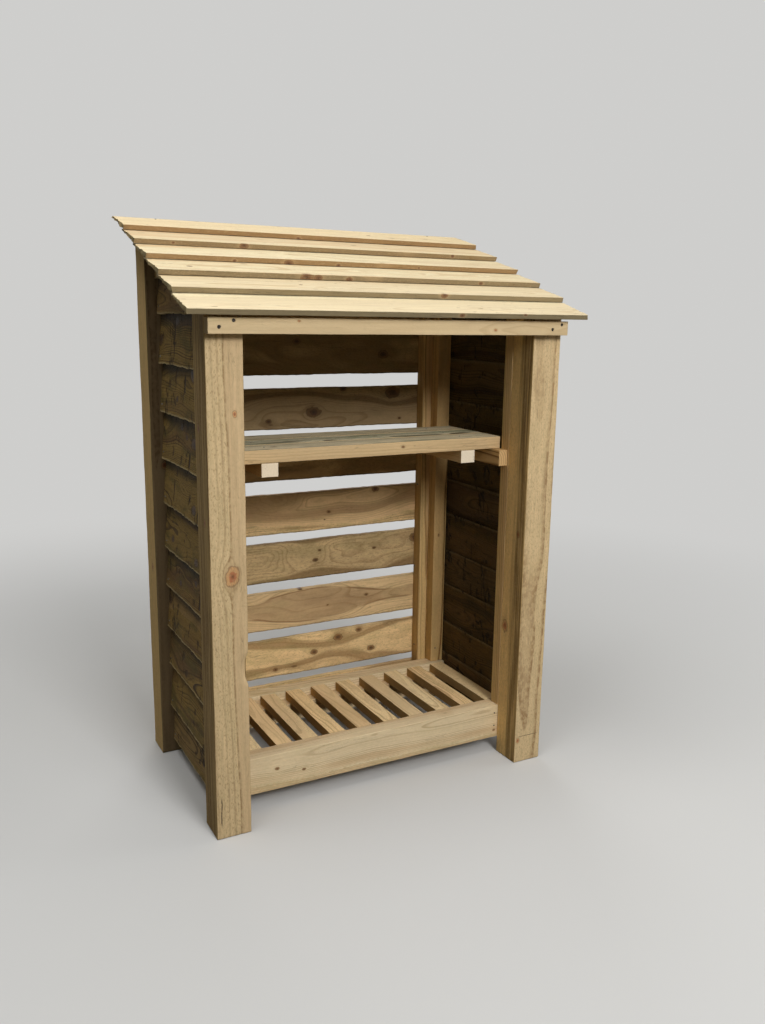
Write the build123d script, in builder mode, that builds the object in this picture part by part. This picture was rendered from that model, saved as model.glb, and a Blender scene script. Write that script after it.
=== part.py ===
"""A lean-to log store of sawn softwood: four square posts, side walls of lapped
tapered boards, a gapped board back, a slatted floor, one shelf and a lapped roof.

Millimetres. X runs along the front, Y to the back, Z up from the ground.
The origin is on the ground under the middle of the roof."""
from build123d import *
from math import asin, ceil, cos, radians, sin, tan
import os

os.makedirs("parts", exist_ok=True)

# The whole store
opening_width = 890.0
wall_depth = 468.0
floor_clear = 51.0
roof_slope = 20.5
roof_front_height = 1403.0
roof_front_overhang = 49.0
roof_rear_overhang = 29.0
roof_side_overhang = 60.0

# Sawn timbers
post_size = 100.0
frame_width = 50.0
frame_depth = 40.0
roof_bearer_depth = 45.0
header_height = 41.0
header_thickness = 30.0
header_drop = 4.0
rail_thickness = 56.0
rail_height = 111.0
ledger_size = 40.0
slat_width = 54.0
slat_thickness = 30.0
slat_gap = 38.5

# Tapered boards of the roof and the side walls
roof_board_width = 150.0
roof_thick_edge = 15.0
roof_thin_edge = 5.0
roof_least_lap = 15.0
wall_board_width = 155.0
wall_thick_edge = 13.0
wall_thin_edge = 5.0
wall_board_pitch = 136.0
wall_clear = 44.0

# The boarded back
back_board_width = 139.0
back_board_thickness = 18.0
back_board_gap = 33.0
back_board_clear = 12.0
back_batten_width = 35.0
back_batten_depth = 42.0

# The shelf
shelf_underside = 1007.0
shelf_setback = 43.0
shelf_board_width = 97.0
shelf_board_thickness = 38.0
shelf_board_gap = 5.0
shelf_board_count = 3
shelf_batten_width = 50.0
shelf_batten_depth = 39.0
shelf_batten_inset = 96.0
support_width = 31.0
support_height = 50.0
support_setback = 5.0

# How far each board was nailed from an even spacing, from the left or from the ground up
slat_nudges = (0, -5, -1, -10, -12, -12, -11, -11, -5, -3, 0)
wall_nudges = (0, -17, -10, -20, -20, -32, -29, -26, -19, -13, -4, -40)
back_nudges = (0, -8, -10, -12, -17, -8, -9, -4, -2, 0)

# Clearances
seat = 0.3
end_gap = 1.0
roof_gap = 2.0

# Across the store, from the middle
inner = opening_width / 2
frame_outer = inner + frame_width
outer = inner + post_size
roof_length = 2 * (outer + roof_side_overhang)

# The roof's run over the ground, and the middle of it over the origin
slope = radians(roof_slope)
store_depth = wall_depth + 2 * post_size
roof_run = roof_front_overhang + store_depth + roof_rear_overhang
front = roof_front_overhang - (roof_run - roof_thick_edge * sin(slope)) / 2

# From the front posts to the back boards
wall_front = front + post_size
wall_back = wall_front + wall_depth
back_face = wall_back + back_batten_depth
floor_top = floor_clear + rail_height
slat_front = wall_front + rail_thickness
slat_back = wall_back - rail_thickness
slat_foot = floor_top - slat_thickness


def underside(y):
    """Height of the line that the roof boards lie on, at a place from front to back."""
    return roof_front_height + (y - front + roof_front_overhang) * tan(slope)


def nudged(number, pitch, nudges):
    """Distance from the first board to another one, as nailed."""
    return number * pitch + nudges[number % len(nudges)]


def on_side(side, low, high):
    """A range across the store, on the right or mirrored to the left."""
    if side == "right":
        return low, high
    return -high, -low


def save(piece, name):
    """Label a finished piece and write it under its own name."""
    piece.part.label = name
    export_step(piece.part, f"parts/{name}.step")


def square_timber(name, x_range, y_range, z_range):
    """A straight timber, cut square."""
    with BuildPart() as timber:
        with BuildSketch(Plane.XY.offset(z_range[0])):
            with Locations((x_range[0], y_range[0])):
                Rectangle(x_range[1] - x_range[0], y_range[1] - y_range[0], align=Align.MIN)
        extrude(amount=z_range[1] - z_range[0])
    save(timber, name)


def sloped_timber(name, x_range, corners):
    """A timber with sloped ends or edges, given by its corners seen from the side."""
    with BuildPart() as timber:
        with BuildSketch(Plane.YZ.offset(x_range[0])):
            with BuildLine():
                Polyline(*corners, close=True)
            make_face()
        extrude(amount=x_range[1] - x_range[0])
    save(timber, name)


def upright(name, x_range, y_range, foot, drop=0.0):
    """A standing timber whose top is cut to the roof's slope, or to a drop below it."""
    near, far = y_range
    sloped_timber(name, x_range, [(near, foot), (far, foot),
                                  (far, underside(far) - drop),
                                  (near, underside(near) - drop)])


# Four posts, and between them on each side two uprights, a roof bearer and a back batten
bearer_drop = roof_bearer_depth / cos(slope)
for side in ("left", "right"):
    post_span = on_side(side, inner, outer)
    frame_span = on_side(side, inner, frame_outer)
    upright(f"front_post_{side}", post_span, (front, wall_front), 0)
    upright(f"rear_post_{side}", post_span, (wall_back, wall_back + post_size), 0)
    upright(f"front_upright_{side}", frame_span,
            (wall_front, wall_front + frame_depth), floor_top, bearer_drop)
    upright(f"rear_upright_{side}", frame_span,
            (wall_back - frame_depth, wall_back), floor_top, bearer_drop)
    sloped_timber(f"roof_bearer_{side}", frame_span,
                  [(wall_front, underside(wall_front) - bearer_drop),
                   (wall_back, underside(wall_back) - bearer_drop),
                   (wall_back, underside(wall_back)),
                   (wall_front, underside(wall_front))])
    upright(f"back_batten_{side}", on_side(side, inner - back_batten_width, inner),
            (wall_back, back_face), back_board_clear)

# The header across the front of the posts, just under the roof's front edge
header_top = roof_front_height - header_drop
square_timber("front_header", (-outer, outer), (front - header_thickness, front),
              (header_top - header_height, header_top))

# The roof: tapered boards, each with its thick front edge lapped over the board before it
roof_length_up = roof_run / cos(slope)
roof_spread = roof_length_up - roof_board_width
roof_board_count = 1 + ceil(roof_spread / (roof_board_width - roof_least_lap))
roof_pitch = roof_spread / (roof_board_count - 1)
roof_lap_thickness = roof_thick_edge - (roof_thick_edge - roof_thin_edge) * roof_pitch / roof_board_width
lift = 0.0
for number in range(roof_board_count):
    board_slope = slope - asin(lift / roof_board_width)
    along = number * roof_pitch
    edge_y = front - roof_front_overhang + along * cos(slope) - lift * sin(slope)
    edge_z = roof_front_height + along * sin(slope) + lift * cos(slope)
    board_plane = Plane(origin=(-roof_length / 2, edge_y, edge_z),
                        x_dir=(0, cos(board_slope), sin(board_slope)), z_dir=(1, 0, 0))
    with BuildPart() as roof_board:
        with BuildSketch(board_plane):
            with BuildLine():
                Polyline((0, 0), (roof_board_width, 0), (roof_board_width, roof_thin_edge),
                         (0, roof_thick_edge), close=True)
            make_face()
        extrude(amount=roof_length)
    save(roof_board, f"roof_board_{number + 1}")
    lift = lift * (1 - roof_pitch / roof_board_width) + roof_lap_thickness + seat

# The side walls: tapered boards, each with its thick lower edge lapped over the board below
wall_start = wall_front + end_gap
wall_end = wall_back - end_gap
wall_course_count = ceil((underside(wall_end) - wall_clear) / wall_board_pitch)
wall_feet = [wall_clear + nudged(number, wall_board_pitch, wall_nudges)
             for number in range(wall_course_count)]
wall_taper = (wall_thick_edge - wall_thin_edge) / wall_board_width
under_roof = Plane(origin=(0, wall_end, underside(wall_end) - roof_gap),
                   x_dir=(1, 0, 0), z_dir=(0, -sin(slope), cos(slope)))
with BuildPart() as right_wall:
    lean = 0.0
    for number, foot in enumerate(wall_feet):
        if number:
            exposed = foot - wall_feet[number - 1]
            lean = lean * (1 - exposed / wall_board_width) \
                + wall_thick_edge - wall_taper * exposed + seat
        head = foot + wall_board_width
        with BuildSketch(Plane.XZ.offset(-wall_end)):
            with BuildLine():
                Polyline((frame_outer + lean, foot),
                         (frame_outer + lean + wall_thick_edge, foot),
                         (frame_outer + wall_thin_edge, head),
                         (frame_outer, head), close=True)
            make_face()
        extrude(amount=wall_end - wall_start)
    split(bisect_by=under_roof, keep=Keep.BOTTOM)
save(right_wall, "side_cladding_right")

with BuildPart() as left_wall:
    mirror(right_wall.part, about=Plane.YZ)
save(left_wall, "side_cladding_left")

# The back: boards nailed behind the back battens, the top one cut under the roof
back_top = underside(back_face) - roof_gap
back_pitch = back_board_width + back_board_gap
back_board_count = ceil((back_top - back_board_clear) / back_pitch)
for number in range(back_board_count):
    foot = back_board_clear + nudged(number, back_pitch, back_nudges)
    square_timber(f"back_board_{number + 1}", (-inner + end_gap, inner - end_gap),
                  (back_face, back_face + back_board_thickness),
                  (foot, min(foot + back_board_width, back_top)))

# The floor: a rail and a ledger at the front and the rear, with slats between the rails
floor_span = (-frame_outer, frame_outer)
rail_heights = (floor_clear, floor_top)
ledger_heights = (slat_foot - ledger_size, slat_foot)
square_timber("floor_front_rail", floor_span, (wall_front, slat_front), rail_heights)
square_timber("floor_rear_rail", floor_span, (slat_back, wall_back), rail_heights)
square_timber("floor_front_ledger", floor_span,
              (slat_front, slat_front + ledger_size), ledger_heights)
square_timber("floor_rear_ledger", floor_span,
              (slat_back - ledger_size, slat_back), ledger_heights)
slat_pitch = slat_width + slat_gap
slat_count = 1 + int((2 * frame_outer - slat_width) / slat_pitch)
slat_corners = [(-frame_outer + nudged(number, slat_pitch, slat_nudges), slat_front)
                for number in range(slat_count)]
with BuildPart() as floor_slats:
    with BuildSketch(Plane.XY.offset(slat_foot)):
        with Locations(*slat_corners):
            Rectangle(slat_width, slat_back - slat_front, align=Align.MIN)
    extrude(amount=slat_thickness)
save(floor_slats, "floor_slats")

# The shelf: boards along the store, two battens under them and a support at each end
shelf_front = wall_front + shelf_setback
shelf_pitch = shelf_board_width + shelf_board_gap
shelf_back = shelf_front + shelf_board_count * shelf_pitch - shelf_board_gap
for number in range(shelf_board_count):
    board_front = shelf_front + number * shelf_pitch
    square_timber(f"shelf_board_{number + 1}", (-inner + end_gap, inner - end_gap),
                  (board_front, board_front + shelf_board_width),
                  (shelf_underside, shelf_underside + shelf_board_thickness))
batten_outer = inner - shelf_batten_inset
for side in ("left", "right"):
    square_timber(f"shelf_batten_{side}",
                  on_side(side, batten_outer - shelf_batten_width, batten_outer),
                  (shelf_front, shelf_back),
                  (shelf_underside - shelf_batten_depth, shelf_underside))
    square_timber(f"shelf_support_{side}", on_side(side, inner - support_width, inner),
                  (wall_front + support_setback, wall_back - support_setback),
                  (shelf_underside - support_height, shelf_underside))
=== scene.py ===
# %% [markdown]
# # A log store of sawn softwood
#
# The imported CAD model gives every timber's exact place and size. This script dresses it:
# each timber gets eased arrises, wandering sawn edges, rough faces and its own piece of
# tree, so that growth rings, knots and end grain run through it as they do in real wood.

# %% Load the fixed frame
import math
import random

import bmesh
import bpy
from mathutils import Matrix, Vector


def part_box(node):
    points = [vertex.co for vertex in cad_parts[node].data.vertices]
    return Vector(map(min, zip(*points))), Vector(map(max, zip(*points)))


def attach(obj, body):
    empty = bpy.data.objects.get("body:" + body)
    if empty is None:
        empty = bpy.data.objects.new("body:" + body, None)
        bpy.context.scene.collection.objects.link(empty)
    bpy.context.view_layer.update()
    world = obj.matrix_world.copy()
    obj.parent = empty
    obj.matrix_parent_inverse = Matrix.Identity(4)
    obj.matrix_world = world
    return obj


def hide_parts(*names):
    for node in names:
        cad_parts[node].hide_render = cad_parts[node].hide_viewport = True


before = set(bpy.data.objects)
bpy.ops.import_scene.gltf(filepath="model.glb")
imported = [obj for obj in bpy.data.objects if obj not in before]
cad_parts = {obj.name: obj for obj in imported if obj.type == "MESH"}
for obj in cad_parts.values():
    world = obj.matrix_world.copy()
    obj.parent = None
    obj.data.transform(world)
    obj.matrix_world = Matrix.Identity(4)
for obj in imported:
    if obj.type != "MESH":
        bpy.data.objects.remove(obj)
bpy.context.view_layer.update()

# %% [markdown]
# ## The camera
#
# Places on the store are easiest to measure from one corner that shows: the left front
# foot. The camera could be aimed at a target, but its turn, dip and slight roll are known
# as angles, so its axes are worked out from them and put into its matrix.

# %% Camera
left_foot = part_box("front_post_left")[0]


def from_left_foot(x, y, z):
    """A place in metres, given in millimetres from the left front foot's outer corner."""
    return Vector((left_foot.x + x / 1000, left_foot.y + y / 1000, z / 1000))


turn = math.radians(-28.19)
dip = math.radians(-12.09)
roll = math.radians(0.83)
ahead = Vector((-math.sin(turn) * math.cos(dip), math.cos(turn) * math.cos(dip), math.sin(dip)))
level_right = Vector((math.cos(turn), math.sin(turn), 0))
level_up = level_right.cross(ahead)
right = level_right * math.cos(roll) + level_up * math.sin(roll)
up = level_up * math.cos(roll) - level_right * math.sin(roll)

camera_data = bpy.data.cameras.new("camera")
camera_data.sensor_fit = "AUTO"
camera_data.sensor_width = 36.0
camera_data.lens = 31.95
camera = bpy.data.objects.new("camera", camera_data)
camera.matrix_world = Matrix((right, up, -ahead)).transposed().to_4x4()
camera.matrix_world.translation = from_left_foot(-670, -2177, 1403)
bpy.context.scene.collection.objects.link(camera)
bpy.context.scene.camera = camera
bpy.context.scene.view_settings.view_transform = "Standard"
print("camera at", [round(v, 3) for v in camera.matrix_world.translation])

# %% [markdown]
# ## Node trees written as sums
#
# A material or a Geometry Nodes tree is a drawing of a sum. Dragging boxes is clear for ten
# nodes and hopeless for two hundred, so one small class wraps a socket and lets Python's own
# operators add the Math nodes. Every other node comes from one method.


# %% Sockets as numbers
class Value:
    """An output socket of a node tree, for use in plain Python expressions."""

    def __init__(self, bench, socket):
        self.bench = bench
        self.socket = socket

    def math(self, operation, *others):
        inputs = dict(enumerate((self, *others)))
        return self.bench.add("ShaderNodeMath", {"operation": operation}, inputs)

    def __add__(self, other):
        return self.math("ADD", other)

    def __sub__(self, other):
        return self.math("SUBTRACT", other)

    def __rsub__(self, other):
        return self.bench.add("ShaderNodeMath", {"operation": "SUBTRACT"}, {0: other, 1: self})

    def __mul__(self, other):
        return self.math("MULTIPLY", other)

    def __truediv__(self, other):
        return self.math("DIVIDE", other)

    def __neg__(self):
        return self.math("MULTIPLY", -1.0)

    def __abs__(self):
        return self.math("ABSOLUTE")

    def __lt__(self, other):
        return self.math("LESS_THAN", other)

    def __gt__(self, other):
        return self.math("GREATER_THAN", other)

    __radd__ = __add__
    __rmul__ = __mul__

    def least(self, other):
        return self.math("MINIMUM", other)

    def most(self, other):
        return self.math("MAXIMUM", other)

    def ramp(self, low, high, start=0.0, end=1.0, smooth=True):
        """Start below low, end above high, and between them a slope."""
        kind = "SMOOTHSTEP" if smooth else "LINEAR"
        inputs = {"Value": self, "From Min": low, "From Max": high, "To Min": start, "To Max": end}
        return self.bench.add("ShaderNodeMapRange", {"interpolation_type": kind}, inputs)

    def hump(self, middle, reach):
        """One at the middle, falling smoothly to zero at a reach to either side."""
        return 1 - abs(self - middle).ramp(0.0, reach)


# %% One method for every other node
class Bench:
    """Adds nodes to one tree and links them."""

    def __init__(self, tree):
        self.tree = tree

    def add(self, kind, settings=None, inputs=None, output=0):
        node = self.tree.nodes.new(kind)
        for name, setting in (settings or {}).items():
            setattr(node, name, setting)
        for key, value in (inputs or {}).items():
            if isinstance(value, Value):
                self.tree.links.new(value.socket, node.inputs[key])
            else:
                node.inputs[key].default_value = value
        return Value(self, node.outputs[output])

    def split(self, vector):
        node = self.add("ShaderNodeSeparateXYZ", None, {0: vector}).socket.node
        return [Value(self, socket) for socket in node.outputs]

    def vector(self, x, y, z):
        return self.add("ShaderNodeCombineXYZ", None, {0: x, 1: y, 2: z})

    def vector_math(self, operation, *vectors, output=0):
        inputs = dict(enumerate(vectors))
        return self.add("ShaderNodeVectorMath", {"operation": operation}, inputs, output)

    def mix_vector(self, factor, first, second):
        settings = {"data_type": "VECTOR", "clamp_factor": False}
        return self.add("ShaderNodeMix", settings, {0: factor, 4: first, 5: second}, 1)

    def mix_colour(self, factor, first, second, blend="MIX"):
        settings = {"data_type": "RGBA", "blend_type": blend}
        return self.add("ShaderNodeMix", settings, {0: factor, 6: first, 7: second}, 2)

    def scaled(self, vector, factor):
        inputs = {"Vector": vector, "Scale": factor}
        return self.add("ShaderNodeVectorMath", {"operation": "SCALE"}, inputs)

    def noise(self, vector, scale=1.0, detail=2.0):
        inputs = {"Vector": vector, "Scale": scale, "Detail": detail}
        return self.add("ShaderNodeTexNoise", None, inputs)


# %% [markdown]
# ## Studio floor and light
#
# The floor is pale to the camera but gives back less light than it shows, so that it does not
# light the shaded sides from below. A grey sky would light such a store from above and from
# the open side, so three soft lamps stand for it: a key high in front, a low one that looks in
# under the roof, and one overhead, a little to the left. Two more keep the back and the
# right side readable.

# %% Floor
pale = (0.62, 0.617, 0.605, 1)
floor_bounce = (0.13, 0.12, 0.09, 1)
floor_reach = 30.0


def new_material(name):
    """An empty material, its bench and its output node."""
    material = bpy.data.materials.new(name)
    material.use_nodes = True
    material.node_tree.nodes.clear()
    output = material.node_tree.nodes.new("ShaderNodeOutputMaterial")
    return material, Bench(material.node_tree), output


def seen_directly(bench):
    """One for rays that the viewer sees, also in a gloss or through glass."""
    node = bench.add("ShaderNodeLightPath").socket.node
    rays = [Value(bench, node.outputs[n]) for n in ("Is Camera Ray", "Is Glossy Ray", "Is Transmission Ray")]
    return (rays[0] + rays[1] + rays[2]).least(1.0)


floor_finish, bench, output = new_material("studio_floor")
seen = seen_directly(bench)
floor_colour = bench.mix_colour(seen, floor_bounce, pale)
matt = bench.add("ShaderNodeBsdfDiffuse", None, {"Color": floor_colour})
glow = bench.add("ShaderNodeEmission", None, {"Color": pale})
place = bench.add("ShaderNodeTexCoord", None, None, "Object")
far = bench.vector_math("LENGTH", place, output="Value").ramp(0.9, 4.0)
floor_mix = bench.add("ShaderNodeMixShader", None, {0: far * seen, 1: matt, 2: glow})
bench.tree.links.new(floor_mix.socket, output.inputs["Surface"])

floor_mesh = bpy.data.meshes.new("studio_floor")
corners = [(-floor_reach, -floor_reach, 0), (floor_reach, -floor_reach, 0),
           (floor_reach, floor_reach, 0), (-floor_reach, floor_reach, 0)]
floor_mesh.from_pydata(corners, [], [(0, 1, 2, 3)])
floor_mesh.materials.append(floor_finish)
floor = bpy.data.objects.new("studio_floor", floor_mesh)
bpy.context.scene.collection.objects.link(floor)

# %% World and lamps
world = bpy.data.worlds.new("studio")
world.use_nodes = True
world.node_tree.nodes.clear()
bench = Bench(world.node_tree)
seen = seen_directly(bench)
sky = bench.mix_colour(seen, (1.0, 0.98, 0.84, 1), pale)
sky_strength = seen + (1 - seen) * 0.085
background = bench.add("ShaderNodeBackground", None, {"Color": sky, "Strength": sky_strength})
world_output = world.node_tree.nodes.new("ShaderNodeOutputWorld")
world.node_tree.links.new(background.socket, world_output.inputs["Surface"])
bpy.context.scene.world = world

store_middle = Vector((0, 0, 0.8))


def soft_lamp(name, place, power, size):
    """A square area lamp aimed at the middle of the store."""
    lamp_data = bpy.data.lights.new(name, "AREA")
    lamp_data.energy = power
    lamp_data.size = size
    lamp = bpy.data.objects.new(name, lamp_data)
    lamp.location = place
    lamp.rotation_euler = (store_middle - lamp.location).to_track_quat("-Z", "Y").to_euler()
    bpy.context.scene.collection.objects.link(lamp)


soft_lamp("key_lamp", (0.3, -4.3, 4.4), 92, 2.6)
soft_lamp("low_lamp", (0.0, -5.0, 3.5), 143, 1.3)
soft_lamp("overhead_lamp", (-1.5, -0.6, 5.2), 98, 2.4)
soft_lamp("back_lamp", (1.3, 4.6, 3.2), 80, 3.0)
soft_lamp("side_lamp", (4.4, -0.9, 1.5), 48, 2.4)
print("lamps set")

# %% [markdown]
# ## Measuring the timbers
#
# Every solid is a block between eight corners, so the eight corners say all: length, taper
# and the slant of a cut end. Typing sizes again would let this script drift from the CAD
# model, so they are read from a merged copy of each node's mesh.


# %% Solids of a node
def solids(node):
    """The corner points of each separate solid of a CAD node."""
    copy = bmesh.new()
    copy.from_mesh(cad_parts[node].data)
    bmesh.ops.remove_doubles(copy, verts=copy.verts, dist=1e-6)
    waiting = set(copy.verts)
    found = []
    for start in copy.verts:
        if start not in waiting:
            continue
        waiting.discard(start)
        island, front = [], [start]
        while front:
            point = front.pop()
            island.append(point.co.copy())
            for edge in point.link_edges:
                other = edge.other_vert(point)
                if other in waiting:
                    waiting.discard(other)
                    front.append(other)
        found.append(island)
    copy.free()
    return found


# %% Corners in order, and the timber's own axes
def halves(points, direction):
    """The points split in two by how far they lie along a direction."""
    ranked = sorted(points, key=lambda point: point.dot(direction))
    return ranked[:len(ranked) // 2], ranked[len(ranked) // 2:]


def mean(points):
    return sum(points, Vector()) / len(points)


def own_axes(points, along, across):
    """Eight corners in order, in the timber's own axes, and the matrix that places them."""
    along = Vector(along)
    across = Vector(across)
    ends = halves(points, along)
    long_axis = (mean(ends[1]) - mean(ends[0])).normalized()
    sides = [halves(end, across) for end in ends]
    side_step = mean(sides[0][1] + sides[1][1]) - mean(sides[0][0] + sides[1][0])
    side_axis = (side_step - long_axis * side_step.dot(long_axis)).normalized()
    deep_axis = long_axis.cross(side_axis)
    ordered = [corner for end in sides for pair in end for corner in halves(pair, deep_axis)]
    ordered = [corner[0] for corner in ordered]
    place = Matrix((long_axis, side_axis, deep_axis)).transposed().to_4x4()
    place.translation = mean(points)
    back = place.inverted()
    return [back @ corner for corner in ordered], place


counts = {node: len(solids(node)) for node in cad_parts}
print(len(counts), "nodes,", sum(counts.values()), "solids")

# %% [markdown]
# ## The sawn timber
#
# A bevelled cube would be too perfect. Here a Geometry Nodes tree makes every timber from
# the same rule: a fine block is stretched between the eight corners, two rows near each
# arris ease it, noise lets the sawn edges wander and the ends fray, and the faces are left
# uneven. All of it only takes wood away, so no timber outgrows its solid. The tree also
# stores where each point lies in the timber, and the finish reads that.


# %% Named inputs of a Geometry Nodes tree
def new_tree(name, inputs):
    """A Geometry Nodes tree with named inputs, and its bench and input values."""
    tree = bpy.data.node_groups.new(name, "GeometryNodeTree")
    for label, kind in inputs.items():
        tree.interface.new_socket(label, in_out="INPUT", socket_type="NodeSocket" + kind)
    tree.interface.new_socket("Geometry", in_out="OUTPUT", socket_type="NodeSocketGeometry")
    bench = Bench(tree)
    group = tree.nodes.new("NodeGroupInput")
    values = {label: Value(bench, group.outputs[label]) for label in inputs}
    return bench, values


def end_tree(bench, geometry, material):
    """Makes instances real, gives them their finish and sends the result out."""
    real = bench.add("GeometryNodeRealizeInstances", None, {"Geometry": geometry})
    dressed = bench.add("GeometryNodeSetMaterial", None, {"Geometry": real, "Material": material})
    output = bench.tree.nodes.new("NodeGroupOutput")
    bench.tree.links.new(dressed.socket, output.inputs["Geometry"])


def run_tree(tree, settings, start=None):
    """The tree's result as a plain mesh, from nothing or from a starting mesh."""
    carrier = bpy.data.objects.new("carrier", start or bpy.data.meshes.new("carrier"))
    bpy.context.scene.collection.objects.link(carrier)
    modifier = carrier.modifiers.new("tree", "NODES")
    modifier.node_group = tree
    for item in tree.interface.items_tree:
        if item.item_type == "SOCKET" and item.in_out == "INPUT" and item.name in settings:
            modifier[item.identifier] = settings[item.name]
    graph = bpy.context.evaluated_depsgraph_get()
    made = carrier.evaluated_get(graph)
    mesh = bpy.data.meshes.new_from_object(made, preserve_all_data_layers=True, depsgraph=graph)
    bpy.data.objects.remove(carrier)
    return mesh


# %% The inputs of the tree of a sawn timber
row_names = ("Rows Along", "Rows Across", "Rows Through")
corner_names = [f"Corner {number}" for number in range(1, 9)]
mark_names = [f"Knot {number}" for number in range(1, 6)]
floats = ("Arris", "Edge Wander", "Far Wander", "End Fray", "Unevenness", "Seed", "Chip Size")
vectors = ("Size", "Pith", "Tone", "Swirl", "Chip", "Crack", "Cover", "Sides", "Lines")
inputs = {name: "Int" for name in row_names}
inputs.update({name: "Float" for name in floats})
inputs.update({name: "Vector" for name in (*vectors, *corner_names, *mark_names)})
inputs["Material"] = "Material"
bench, given = new_tree("sawn_timber", inputs)
print("sawn timber:", len(inputs), "inputs")

# %% Rows of points: two near each arris, the rest evenly between
block = bench.add("GeometryNodeMeshCube", None,
                  {"Size": (1, 1, 1), "Vertices X": given["Rows Along"],
                   "Vertices Y": given["Rows Across"], "Vertices Z": given["Rows Through"]})
spots = bench.split(bench.add("GeometryNodeInputPosition"))
lengths = bench.split(given["Size"])
second_row = 2.2

shares, at_low, at_high = [], [], []
for spot, length, name in zip(spots, lengths, row_names):
    count = given[name]
    row = ((spot + 0.5) * (count - 1)).math("ROUND")
    ease = given["Arris"] / length
    second = ease * second_row
    share = row.ramp(2.0, count - 3, second, 1 - second, smooth=False)
    share = share - (row < 1.5) * (second - ease) - (row < 0.5) * ease
    share = share + (row > count - 2.5) * (second - ease) + (row > count - 1.5) * ease
    shares.append(share)
    at_low.append(row < 0.5)
    at_high.append(row > count - 1.5)

# An arris is pulled in as a round of 45 degrees would, and a corner by a little more
arris_pull = 0.293
corner_pull = 0.13
on_face = [low + high for low, high in zip(at_low, at_high)]
touching = on_face[0] + on_face[1] + on_face[2]
pull = (touching > 1.5) * arris_pull + (touching > 2.5) * corner_pull

# %% Wandering edges and frayed ends
own = given["Seed"] * 7.31
metres = [(share - 0.5) * length for share, length in zip(shares, lengths)]
end = shares[0].math("ROUND")
edge = shares[1].math("ROUND")
# For each axis the places of a slow and a quick noise, the slow one's part, how far in the
# noise reaches, and how deep it cuts on the low and the high side
roughness = {
    0: (bench.vector(end * 4.1 + own, metres[1] * 12, metres[2] * 25),
        bench.vector(end * 2.9 + own, metres[1] * 110, metres[2] * 110),
        0.25, 0.030, given["End Fray"], given["End Fray"]),
    1: (bench.vector(metres[0] * 5.0, edge * 5.3 + own, metres[2] * 2),
        bench.vector(metres[0] * 45, edge * 3.7 + own, metres[2] * 30),
        0.6, 0.016, given["Edge Wander"], given["Far Wander"]),
}
moved = []
for axis, (share, length) in enumerate(zip(shares, lengths)):
    ease = given["Arris"] * pull
    inward = at_low[axis] * ease - at_high[axis] * ease
    if axis in roughness:
        slow, quick, slow_part, reach, low_cut, high_cut = roughness[axis]
        rough = bench.noise(slow) * slow_part + bench.noise(quick) * (1 - slow_part)
        rough = rough.ramp(0.33, 0.67, smooth=False)
        near_low = 1 - (share * length).ramp(0.0, reach, smooth=False)
        near_high = 1 - ((1 - share) * length).ramp(0.0, reach, smooth=False)
        inward = inward + rough * (near_low * low_cut - near_high * high_cut)
    moved.append(share + inward / length)

# %% Between the eight corners
edges = [bench.mix_vector(moved[2], given[corner_names[n]], given[corner_names[n + 1]])
         for n in (0, 2, 4, 6)]
low_end = bench.mix_vector(moved[1], edges[0], edges[1])
high_end = bench.mix_vector(moved[1], edges[2], edges[3])
shaped = bench.mix_vector(moved[0], low_end, high_end)

# %% A chipped arris: points near the chip move towards the timber's middle line
apart = bench.vector_math("SUBTRACT", shaped, given["Chip"])
squeezed = bench.vector_math("MULTIPLY", apart, (0.45, 1.0, 1.0))
away = bench.vector_math("LENGTH", squeezed, output="Value")
chip = (1 - (away / given["Chip Size"].most(0.0001)).ramp(0.35, 1.0)) * given["Chip Size"] * 0.42
chip = chip * (given["Chip Size"] > 0.001)
inwards = bench.vector_math("NORMALIZE", bench.vector_math("MULTIPLY", shaped, (0.0, -1.0, -1.0)))
chip_move = bench.scaled(inwards, chip)


# %% What each point remembers, stored before the points move
def store(bench, geometry, name, value):
    """Keeps a value on the points of the mesh, for the finish to read."""
    settings = {"data_type": "FLOAT_VECTOR", "domain": "POINT"}
    inputs = {"Geometry": geometry, "Name": name, "Value": value}
    return bench.add("GeometryNodeStoreNamedAttribute", settings, inputs)


depths = [share.least(1 - share) * length for share, length in zip(shares, lengths)]
stored = {"grain": shaped, "faces": bench.vector(*on_face), "depths": bench.vector(*depths)}
for name in ("Pith", "Tone", "Swirl", "Crack", "Cover", "Sides", "Lines", *mark_names):
    stored[name.lower().replace(" ", "_")] = given[name]
geometry = block
for name, value in stored.items():
    geometry = store(bench, geometry, name, value)
geometry = bench.add("GeometryNodeSetPosition", None,
                     {"Geometry": geometry, "Position": shaped, "Offset": chip_move})
print("each point stores", len(stored), "values")

# %% Uneven faces, always inwards
grain = bench.add("GeometryNodeInputNamedAttribute", {"data_type": "FLOAT_VECTOR"}, {"Name": "grain"})
drift = bench.vector(own, own, own)
long_waves = bench.vector_math("MULTIPLY_ADD", grain, (5.0, 16.0, 16.0), drift)
short_waves = bench.vector_math("MULTIPLY_ADD", grain, (16.0, 42.0, 42.0), drift)
hollow = bench.noise(long_waves, detail=1.0) * 0.65 + bench.noise(short_waves) * 0.35
hollow = hollow.ramp(0.25, 0.75, smooth=False) * given["Unevenness"]
sink = bench.scaled(bench.add("GeometryNodeInputNormal"), -hollow)
geometry = bench.add("GeometryNodeSetPosition", None, {"Geometry": geometry, "Offset": sink})
geometry = bench.add("GeometryNodeSetShadeSmooth", None, {0: geometry})
end_tree(bench, geometry, given["Material"])
timber_tree = bench.tree
print("sawn timber tree:", len(timber_tree.nodes), "nodes")

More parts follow.
